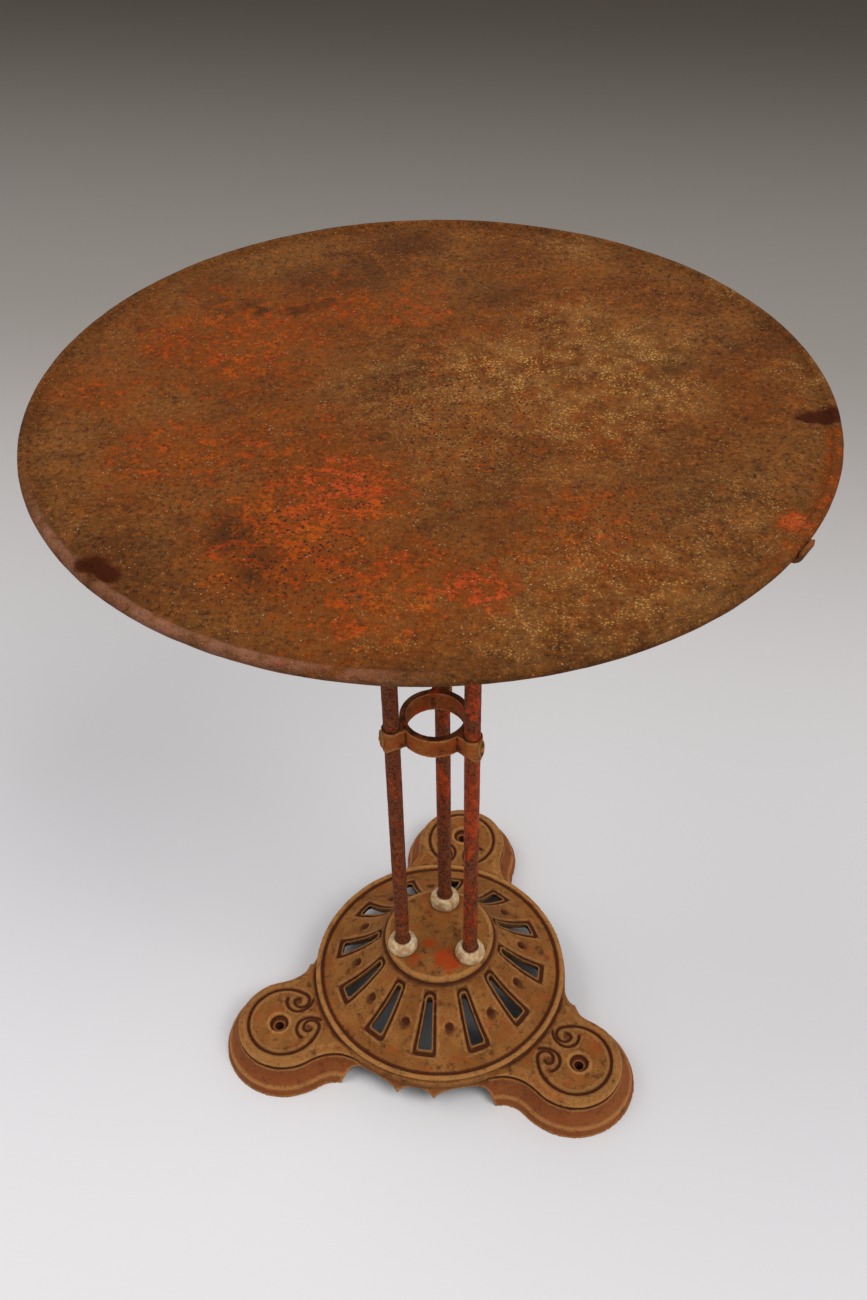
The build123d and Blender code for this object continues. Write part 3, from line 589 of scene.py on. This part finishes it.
def tabletop(material):
    """The rolled sheet top: uneven, pitted and crusted."""
    low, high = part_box("tabletop_sheet")
    outer = high.x
    mesh = lathe("tabletop", top_profile(outer, low.z, high.z), TOP_SIDES // (1))
    points = points_of(mesh)
    normals = normals_of(mesh)
    on_top = smooth_step(normals[:, 2], 0.1, 0.5)
    smudges, gloss = top_masks(mesh, points, on_top, outer)
    radius = np.hypot(points[:, 0], points[:, 1])
    rim = smooth_step(radius, outer - 12 * MM, outer - 8 * MM)
    crust = 0.14 * grain(points, 9 * MM, 3.0, 4) + 0.10 * grain(points, 4 * MM, 6.0, 2)
    pits = -0.35 * np.clip(grain(points, 7 * MM, 9.0, 3) - 0.35, 0.0, 1.0)
    sag = 0.45 * grain(points, 120 * MM, 4.0, 2) * smooth_step(radius, outer - 6 * MM, outer - 60 * MM)
    lift = (crust + pits + sag + 0.4 * smudges) * on_top * (1.0 - rim)
    points[:, 2] += (lift - 0.55 * gloss * on_top * (1.0 - rim)) * MM
    dents = 0.16 * grain(points, 14 * MM, 21.0, 3) + 0.22 * grain(points, 60 * MM, 23.0, 2)
    points += normals * (rim * dents * MM)[:, None]
    set_points(mesh, points)
    return new_piece("tabletop", mesh, "tabletop_sheet", material)


# ---------------------------------------------------------------- rods and ferrules
def worn_rod(side, paint_share, material):
    """A rod between its tenons, with raised paint and eaten rust."""
    node = "rod_" + side
    low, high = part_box(node)
    centre = (low + high) / 2.0
    radius = (high.x - low.x) / 2.0
    tenon = radius * TENON_SHARE
    shoulder_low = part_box("base_casting")[1].z
    shoulder_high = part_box("top_lock_nuts")[0].z
    step = 2.2 * MM * 1.0
    chamfer = 0.4 * MM
    shaft = [(radius, z) for z in np.arange(shoulder_low + chamfer, shoulder_high - chamfer, step)]
    profile = [(0.0, low.z), (tenon, low.z), (tenon, shoulder_low - chamfer)]
    profile += [(radius - chamfer, shoulder_low)] + shaft
    profile += [(radius, shoulder_high - chamfer), (radius - chamfer, shoulder_high)]
    profile += [(tenon, shoulder_high), (tenon, high.z), (0.0, high.z)]
    mesh = lathe(node, profile, ROD_SIDES // (1))
    points = points_of(mesh)
    normals = normals_of(mesh)
    points[:, 0] += centre.x
    points[:, 1] += centre.y
    height = points[:, 2]
    fade = 4 * MM
    shaft_share = between(height, shoulder_low, shoulder_low + fade, shoulder_high - fade, shoulder_high)
    skin = 0.12 * grain(points, 10 * MM, 2.0) + 0.09 * grain(points, 4 * MM, 7.0)
    points += normals * (skin * shaft_share * MM)[:, None]
    set_points(mesh, points)
    level = (height - shoulder_low) / (shoulder_high - shoulder_low)
    bands = 0.3 * grain(points, 90 * MM, 5.0)
    paint(mesh, "paint", np.clip(paint_share + bands - 0.35 * smooth_step(level, 0.16, 0.0), 0.0, 1.0))
    return new_piece("painted_rod_" + side, mesh, node, material)


def ferrule(side, material):
    """A worn dome at a rod's foot."""
    node = "rod_ferrule_" + side
    low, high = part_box(node)
    mesh = cast_skin(node, 0.55 * MM, 3, [(7 * MM, 0.25 * MM), (2.5 * MM, 0.07 * MM)])
    points = points_of(mesh)
    centre = (low + high) / 2.0
    rod_low, rod_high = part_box("rod_" + side)
    from_rod = np.hypot(points[:, 0] - centre.x, points[:, 1] - centre.y) - (rod_high.x - rod_low.x) / 2.0
    near_rod = smooth_step(from_rod, 2.6 * MM, 0.9 * MM)
    near_hub = smooth_step(points[:, 2], low.z + 2.2 * MM, low.z + 0.4 * MM)
    paint(mesh, "stain", np.clip(near_rod + 0.8 * near_hub + 0.35 * grain(points, 6 * MM, 3.0), 0.0, 0.9))
    return new_piece("ferrule_" + side, mesh, node, material)


# ---------------------------------------------------------------- base and collar
# Sizes of the base's ornament, on the bell from the table's axis and on the pads from their middles.
PAD_TO_FOOT = 64.0 * MM
PAD_LOWEST = 33.0 * MM
HOLE_BEYOND_PAD = 6.7 * MM
RECESS_RADIUS = 9.5 * MM
SCROLL_BEYOND_PAD = 1.0 * MM
SCROLL_RADIUS = 37.0 * MM
VOLUTE_RADIUS = 8.0 * MM
EYE_RADIUS = 4.4 * MM
STEP_LINE_HEIGHT = 31.3 * MM
RIDGE_HEIGHT = 10.6 * MM
SLOT_COUNT = 12
DIMPLE_REACH = 87.7 * MM
DIMPLE_RADIUS = 5.4 * MM
NECK_RADIUS = 57.0 * MM
EDGE_GROOVE_RADIUS = 124.6 * MM
EDGE_BEAD_RADIUS = 129.4 * MM
EDGE_FOOT_RADIUS = 133.4 * MM
BELL_LOWEST = 38.0 * MM
# Slots, lips and margins as near and far radius and near and far width, in millimetres.
SLOT = (65.0, 104.0, 5.0, 14.0)
LIP = (63.4, 105.6, 8.0, 17.4)
MARGIN = (60.5, 110.0, 11.5, 25.0)
# Old paint on the hub, as x, y and radius in millimetres, and strength.
HUB_PAINT = [(12, -30, 28, 0.85), (-4, -14, 24, 0.5), (-18, -36, 20, 0.6), (-44, 14, 26, 0.5)]


def arc_gap(places, centre, radius, start, turn):
    """Distance in the plane from each place to an arc that runs anticlockwise from its start."""
    away = places - centre
    angle = (np.degrees(np.arctan2(away[:, 1], away[:, 0])) - start) % 360.0
    ends = [places - centre - polar(radius, start), places - centre - polar(radius, start + turn)]
    to_ends = np.minimum(np.hypot(*ends[0].T), np.hypot(*ends[1].T))
    return np.where(angle <= turn, np.abs(np.hypot(*away.T) - radius), to_ends)


def scroll_gaps(places):
    """Distances to a pad's C-scroll line and to the eyes of its volutes, in the pad's own plane
    with X outwards. The two halves mirror each other."""
    places = np.stack([places[:, 0], np.abs(places[:, 1])], axis=1)
    middle = np.array((SCROLL_BEYOND_PAD, 0.0))
    turn_in = 145.0
    turn_back = 195.0
    volute = middle + polar(SCROLL_RADIUS - VOLUTE_RADIUS, turn_in)
    eye = volute + polar(VOLUTE_RADIUS - EYE_RADIUS, turn_in + turn_back)
    tail = np.array((-19.5, 17.0)) * MM
    tail_radius = 12.0 * MM
    sweep_radius = 18.0 * MM
    arcs = [
        (middle, SCROLL_RADIUS, 0.0, turn_in),
        (volute, VOLUTE_RADIUS, turn_in, turn_back),
        (eye, EYE_RADIUS, turn_in + turn_back, 150.0),
        (tail, tail_radius, 270.0, 130.0),
        (tail + (0.0, sweep_radius - tail_radius), sweep_radius, 215.0, 55.0),
    ]
    line = np.minimum.reduce([arc_gap(places, *arc) for arc in arcs])
    return line, np.hypot(*(places - eye).T)


def outside_taper(along, across, taper):
    """Distance outside a shape that widens outwards; negative inside it."""
    near, far, near_width, far_width = (value * MM for value in taper)
    half_width = (near_width + (along - near) / (far - near) * (far_width - near_width)) / 2.0
    return np.maximum(np.abs(across) - half_width, np.maximum(near - along, along - far))


def bell_marks(points, normals, hub_top):
    """Painted shade and light on the bell: shade in sunk margins and dimples, painted highlights on the lips
    and the bead, and shade in the lines round its edge and its hub."""
    reach = np.hypot(points[:, 0], points[:, 1])
    azimuth = np.degrees(np.arctan2(points[:, 1], points[:, 0]))
    step = 360.0 / SLOT_COUNT
    from_slot = np.radians((azimuth + step / 2.0) % step - step / 2.0)
    from_dimple = np.radians(azimuth % step - step / 2.0)
    along, across = reach * np.cos(from_slot), reach * np.sin(from_slot)
    to_margin = outside_taper(along, across, MARGIN)
    to_lip = outside_taper(along, across, LIP)
    to_slot = outside_taper(along, across, SLOT)
    margin = smooth_step(to_margin, 0.9 * MM, -0.6 * MM) * smooth_step(to_lip, -0.5 * MM, 0.7 * MM)
    dimple = np.hypot(reach * np.cos(from_dimple) - DIMPLE_REACH, reach * np.sin(from_dimple))
    dimple = smooth_step(dimple, DIMPLE_RADIUS + 0.9 * MM, DIMPLE_RADIUS - 1.4 * MM)
    up = smooth_step(normals[:, 2], 0.0, 0.4)
    on_bell = up * smooth_step(points[:, 2], BELL_LOWEST, BELL_LOWEST + 2 * MM)
    edge_groove = 0.75 * band(reach, EDGE_GROOVE_RADIUS, 2.4 * MM, 0.7 * MM)
    under_bead = 0.8 * band(reach, EDGE_FOOT_RADIUS, 2.2 * MM, 0.8 * MM)
    neck = 0.8 * band(reach, NECK_RADIUS, 3.6 * MM, 1.4 * MM)
    neck = neck * smooth_step(points[:, 2], hub_top - 1.5 * MM, hub_top - 4 * MM)
    halo = 0.35 * smooth_step(to_margin, 5 * MM, -1 * MM)
    shade = np.maximum.reduce([0.85 * margin, 0.8 * dimple, halo, edge_groove, under_bead, neck]) * on_bell
    outer_lip = band(to_margin, 1.5 * MM, 1.3 * MM, 0.3 * MM)
    inner_lip = smooth_step(to_lip, 0.4 * MM, -0.6 * MM) * smooth_step(to_slot, -0.4 * MM, 0.4 * MM)
    bead = band(reach, EDGE_BEAD_RADIUS, 2.6 * MM, 0.8 * MM)
    light = np.maximum.reduce([0.45 * outer_lip, 0.6 * inner_lip, 0.5 * bead]) * on_bell
    in_slot = smooth_step(to_slot, 0.8 * MM, -0.2 * MM) * (1.0 - smooth_step(normals[:, 2], 0.2, 0.6))
    return shade, light, in_slot


def pad_ornaments(points, normals, pad_middle):
    """For each pad, the shares of its scroll groove, the shade round that, the volutes' eyes, the
    edge inside the scroll and the recess."""
    on_pad = smooth_step(normals[:, 2], 0.2, 0.6) * smooth_step(points[:, 2], PAD_LOWEST, PAD_LOWEST + 2 * MM)
    for azimuth in FOOT_AZIMUTHS:
        outwards = polar(1.0, azimuth)
        sideways = polar(1.0, azimuth + 90.0)
        flat = points[:, :2] - pad_middle * outwards
        places = np.stack([flat @ outwards, flat @ sideways], axis=1)
        line, eye = scroll_gaps(places)
        from_middle = np.hypot(places[:, 0] - SCROLL_BEYOND_PAD, places[:, 1])
        from_hole = np.hypot(places[:, 0] - HOLE_BEYOND_PAD, places[:, 1])
        near = smooth_step(from_middle, 52 * MM, 48 * MM) * on_pad
        groove = smooth_step(line, 2.3 * MM, 0.5 * MM) * near
        halo = smooth_step(line, 8 * MM, 1 * MM) * near
        eye_dark = smooth_step(eye, 4.6 * MM, 1.5 * MM) * near
        inner_edge = band(from_middle, SCROLL_RADIUS - 3.0 * MM, 1.8 * MM, 0.5 * MM)
        inner_edge = inner_edge * smooth_step(places[:, 0], -24 * MM, -16 * MM) * near
        recess = smooth_step(from_hole, RECESS_RADIUS + 0.9 * MM, RECESS_RADIUS - 0.6 * MM)
        yield groove, halo, eye_dark, inner_edge, recess


def pad_marks(points, normals, pad_middle):
    """Shade, light and redness on the pads: C-scrolls with dark eyes, and recesses."""
    shade = np.zeros(len(points))
    light = np.zeros(len(points))
    red = np.zeros(len(points))
    for groove, halo, eye_dark, inner_edge, recess in pad_ornaments(points, normals, pad_middle):
        shade = np.maximum.reduce([shade, 0.4 * halo, 0.85 * groove, 0.85 * eye_dark, 0.3 * recess])
        red = np.maximum(red, 0.95 * recess)
        light = np.maximum(light, 0.6 * inner_edge)
    return shade, light, red


def outer_wall(points, normals):
    """1 on the base's wall outside the bell."""
    reach = np.hypot(points[:, 0], points[:, 1])
    return smooth_step(reach, 132 * MM, 134 * MM) * smooth_step(normals[:, 2], -0.3, 0.0)


def base(material):
    """The cast base, with its scrolls, sunk margins, shaded hollows and old paint."""
    low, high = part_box("base_casting")
    skin = [(16 * MM, 0.24 * MM), (5 * MM, 0.10 * MM), (2.6 * MM, 0.05 * MM)]
    mesh = cast_skin("base_casting", 1.0 * MM, 1, skin, MOST_CASTING_TRIANGLES, base_carving)
    points = points_of(mesh)
    points[:, 2] = np.maximum(points[:, 2], low.z)
    set_points(mesh, points)
    normals = normals_of(mesh)
    bell_shade, bell_light, in_slot = bell_marks(points, normals, high.z)
    pad_shade, pad_light, pad_red = pad_marks(points, normals, high.y - PAD_TO_FOOT)
    outside = outer_wall(points, normals)
    step_line = outside * band(points[:, 2], STEP_LINE_HEIGHT, 3.0 * MM, 1.2 * MM)
    ridge = outside * band(points[:, 2], RIDGE_HEIGHT, 2.2 * MM, 0.6 * MM)
    wall = outside * smooth_step(points[:, 2], STEP_LINE_HEIGHT, STEP_LINE_HEIGHT - 4 * MM)
    inside = smooth_step(-normals[:, 2], 0.1, 0.5)
    on_hub = smooth_step(points[:, 2], high.z - 4 * MM, high.z - 1 * MM)
    patches = spots(points, HUB_PAINT, 0.1)
    lobes = 0.5 * np.clip(grain(points, 22 * MM, 14.0) - 0.3, 0.0, 1.0)
    paint(mesh, "shade", np.maximum.reduce([bell_shade, pad_shade, 0.9 * step_line]))
    paint(mesh, "light", np.maximum.reduce([bell_light, pad_light, 0.5 * ridge]))
    paint(mesh, "red", np.maximum(0.75 * wall, pad_red))
    # Painted shade under the casting and in its slots.
    paint(mesh, "inside_shade", np.clip(0.75 * inside + 0.8 * in_slot, 0.0, 0.9))
    paint(mesh, "paint", np.maximum(patches * on_hub, lobes))
    return new_piece("cast_base", mesh, "base_casting", material)


def base_carving(points, normals):
    """How far the base's skin rises at each point for its scrolls and step line."""
    pad_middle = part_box("base_casting")[1].y - PAD_TO_FOOT
    rise = np.zeros(len(points))
    for groove, _, eye_dark, inner_edge, _ in pad_ornaments(points, normals, pad_middle):
        rise += (0.35 * inner_edge - 0.7 * groove - 0.5 * eye_dark) * MM
    step_line = outer_wall(points, normals) * band(points[:, 2], STEP_LINE_HEIGHT, 2.2 * MM, 0.8 * MM)
    return rise - 0.5 * MM * step_line


def cast_piece(node, voxel, material, paint_share=0.25, top_shade=0.0):
    """Any other part as a softened casting or forging. Top shade says how much darker its upper
    faces are."""
    skin = [(8 * MM, 0.12 * MM), (3 * MM, 0.06 * MM)]
    mesh = cast_skin(node, voxel, 2, skin, MOST_SMALL_TRIANGLES)
    points = points_of(mesh)
    upper = smooth_step(normals_of(mesh)[:, 2], 0.3, 0.8)
    paint(mesh, "shade", top_shade * upper * np.clip(0.9 + 0.5 * grain(points, 14 * MM, 6.0), 0.0, 1.0))
    for name in ("light", "red", "inside_shade"):
        paint(mesh, name, np.zeros(len(points)))
    paint(mesh, "paint", np.clip(paint_share + 0.3 * grain(points, 16 * MM, 4.0), 0.0, 1.0))
    return new_piece(node + "_worn", mesh, node, material)


# ---------------------------------------------------------------- room
# The photograph's point of view in the table's frame: lengths in metres, roll in radians, and the
# lens and its sensor in millimetres.
CAMERA_EYE = (0.1215, -0.7337, 1.2084)
CAMERA_FORWARD = (-0.11912, 0.71645, -0.68739)
CAMERA_ROLL = -0.0189
CAMERA_LENS = 34.91
CAMERA_SENSOR = 36.0
FLOOR_REACH = 60.0
# How much the world lights the scene, and its colour.
WORLD_STRENGTH = 0.58
WORLD_COLOUR = (0.96, 0.965, 1.0, 1.0)
LAMP_SIZE = 3.0


def camera():
    """A camera at the photograph's point of view."""
    eye = Vector(CAMERA_EYE)
    forward = Vector(CAMERA_FORWARD).normalized()
    roll = CAMERA_ROLL
    side = forward.cross(Vector((0, 0, 1))).normalized()
    up = side.cross(forward)
    x_axis = side * math.cos(roll) + up * math.sin(roll)
    y_axis = up * math.cos(roll) - side * math.sin(roll)
    turn = Matrix((x_axis, y_axis, -forward)).transposed().to_4x4()
    data = bpy.data.cameras.new("photo_camera")
    data.lens = CAMERA_LENS
    data.sensor_width = CAMERA_SENSOR
    view = bpy.data.objects.new("photo_camera", data)
    view.matrix_world = Matrix.Translation(eye) @ turn
    bpy.context.scene.collection.objects.link(view)
    bpy.context.scene.camera = view


def area_light(name, place, target, power, colour):
    """A soft square lamp aimed at a point."""
    data = bpy.data.lights.new(name, "AREA")
    data.size = LAMP_SIZE
    data.energy = power
    data.color = colour
    lamp = bpy.data.objects.new(name, data)
    lamp.location = place
    lamp.rotation_euler = (Vector(target) - Vector(place)).to_track_quat("-Z", "Y").to_euler()
    bpy.context.scene.collection.objects.link(lamp)


def floor_paint():
    """Pale grey that falls away into brown shade behind the table, with a painted shadow under the bell."""
    make = Recipe("studio_floor")
    split = make.tree.nodes.new("ShaderNodeSeparateXYZ")
    make.put(split.inputs[0], make.place)
    depth = split.outputs["Y"]
    colour = make.mix(make.ramp(depth, -0.2, 1.5), tint(216, 215, 216), tint(146, 140, 134))
    colour = make.mix(make.ramp(depth, 0.8, 3.6), colour, tint(66, 57, 47))
    length = make.tree.nodes.new("ShaderNodeVectorMath")
    length.operation = "LENGTH"
    make.put(length.inputs[0], make.place)
    # Painted shadow on the floor under the bell.
    bell_shadow = make.ramp(length.outputs["Value"], 0.135, 0.09, 0.0, 0.6)
    colour = make.mix(bell_shadow, colour, tint(70, 74, 84))
    return make.finish(colour, 0.7, make.noise(0.3), 0.05 * MM, shine=0.2)


def studio():
    """A pale floor, a soft world and two soft lamps."""
    near, far = -FLOOR_REACH, FLOOR_REACH
    mesh = bpy.data.meshes.new("studio_floor")
    mesh.from_pydata([(near, near, 0), (far, near, 0), (far, far, 0), (near, far, 0)], [], [(0, 1, 2, 3)])
    mesh.materials.append(floor_paint())
    floor = bpy.data.objects.new("studio_floor", mesh)
    bpy.context.scene.collection.objects.link(floor)
    world = bpy.data.worlds.new("studio_world")
    world.use_nodes = True
    world.node_tree.nodes["Background"].inputs["Color"].default_value = WORLD_COLOUR
    world.node_tree.nodes["Background"].inputs["Strength"].default_value = WORLD_STRENGTH
    bpy.context.scene.world = world
    area_light("key_lamp", (2.8, -1.5, 4.9), (0, 0, 0.4), 165.0, (1.0, 0.98, 0.96))
    area_light("fill_lamp", (-2.4, -0.2, 4.6), (0, 0, 0.3), 90.0, (1.0, 0.98, 0.97))
    bpy.context.scene.view_settings.view_transform = "Standard"


# ---------------------------------------------------------------- the table
def build():
    """Every piece of the table, with its material."""
    iron = cast_iron("cast_base", tint(122, 76, 34), tint(70, 36, 18), tint(142, 94, 46), 0.5, 34 * MM)
    collar = cast_iron("cast_collar", tint(134, 66, 24), tint(54, 26, 14), tint(158, 90, 38), 0.8, 18 * MM)
    shield = cast_iron("cast_shield", tint(84, 46, 22), tint(44, 24, 14), tint(110, 64, 30), 0.4, 18 * MM)
    hidden = dark_rust("hidden_iron", tint(118, 70, 36), tint(78, 46, 28))
    fastener = dark_rust("fastener_rust", tint(104, 66, 40), tint(58, 40, 30))
    rod_paint = flaking_paint()
    dome = worn_ferrule()
    tabletop(rusted_sheet())
    base(iron)
    for side, paint_share in ROD_PAINT.items():
        worn_rod(side, paint_share, rod_paint)
        ferrule(side, dome)
        cast_piece("collar_shield_" + side, 0.4 * MM, shield)
        cast_piece("brace_arm_" + side, 1.0 * MM, hidden)
    cast_piece("collar_ring", 0.7 * MM, collar, paint_share=0.35, top_shade=1.0)
    cast_piece("collar_pins", 0.35 * MM, collar)
    cast_piece("top_spider", 1.0 * MM, hidden)
    cast_piece("arm_rivets", 0.5 * MM, fastener)
    cast_piece("top_lock_nuts", 0.6 * MM, fastener)
    cast_piece("base_nuts", 0.6 * MM, fastener)
    cast_piece("base_washers", 0.45 * MM, fastener)
    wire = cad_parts["rim_wire"]
    wire.data.materials.clear()
    wire.data.materials.append(fastener)


build()
studio()
camera()
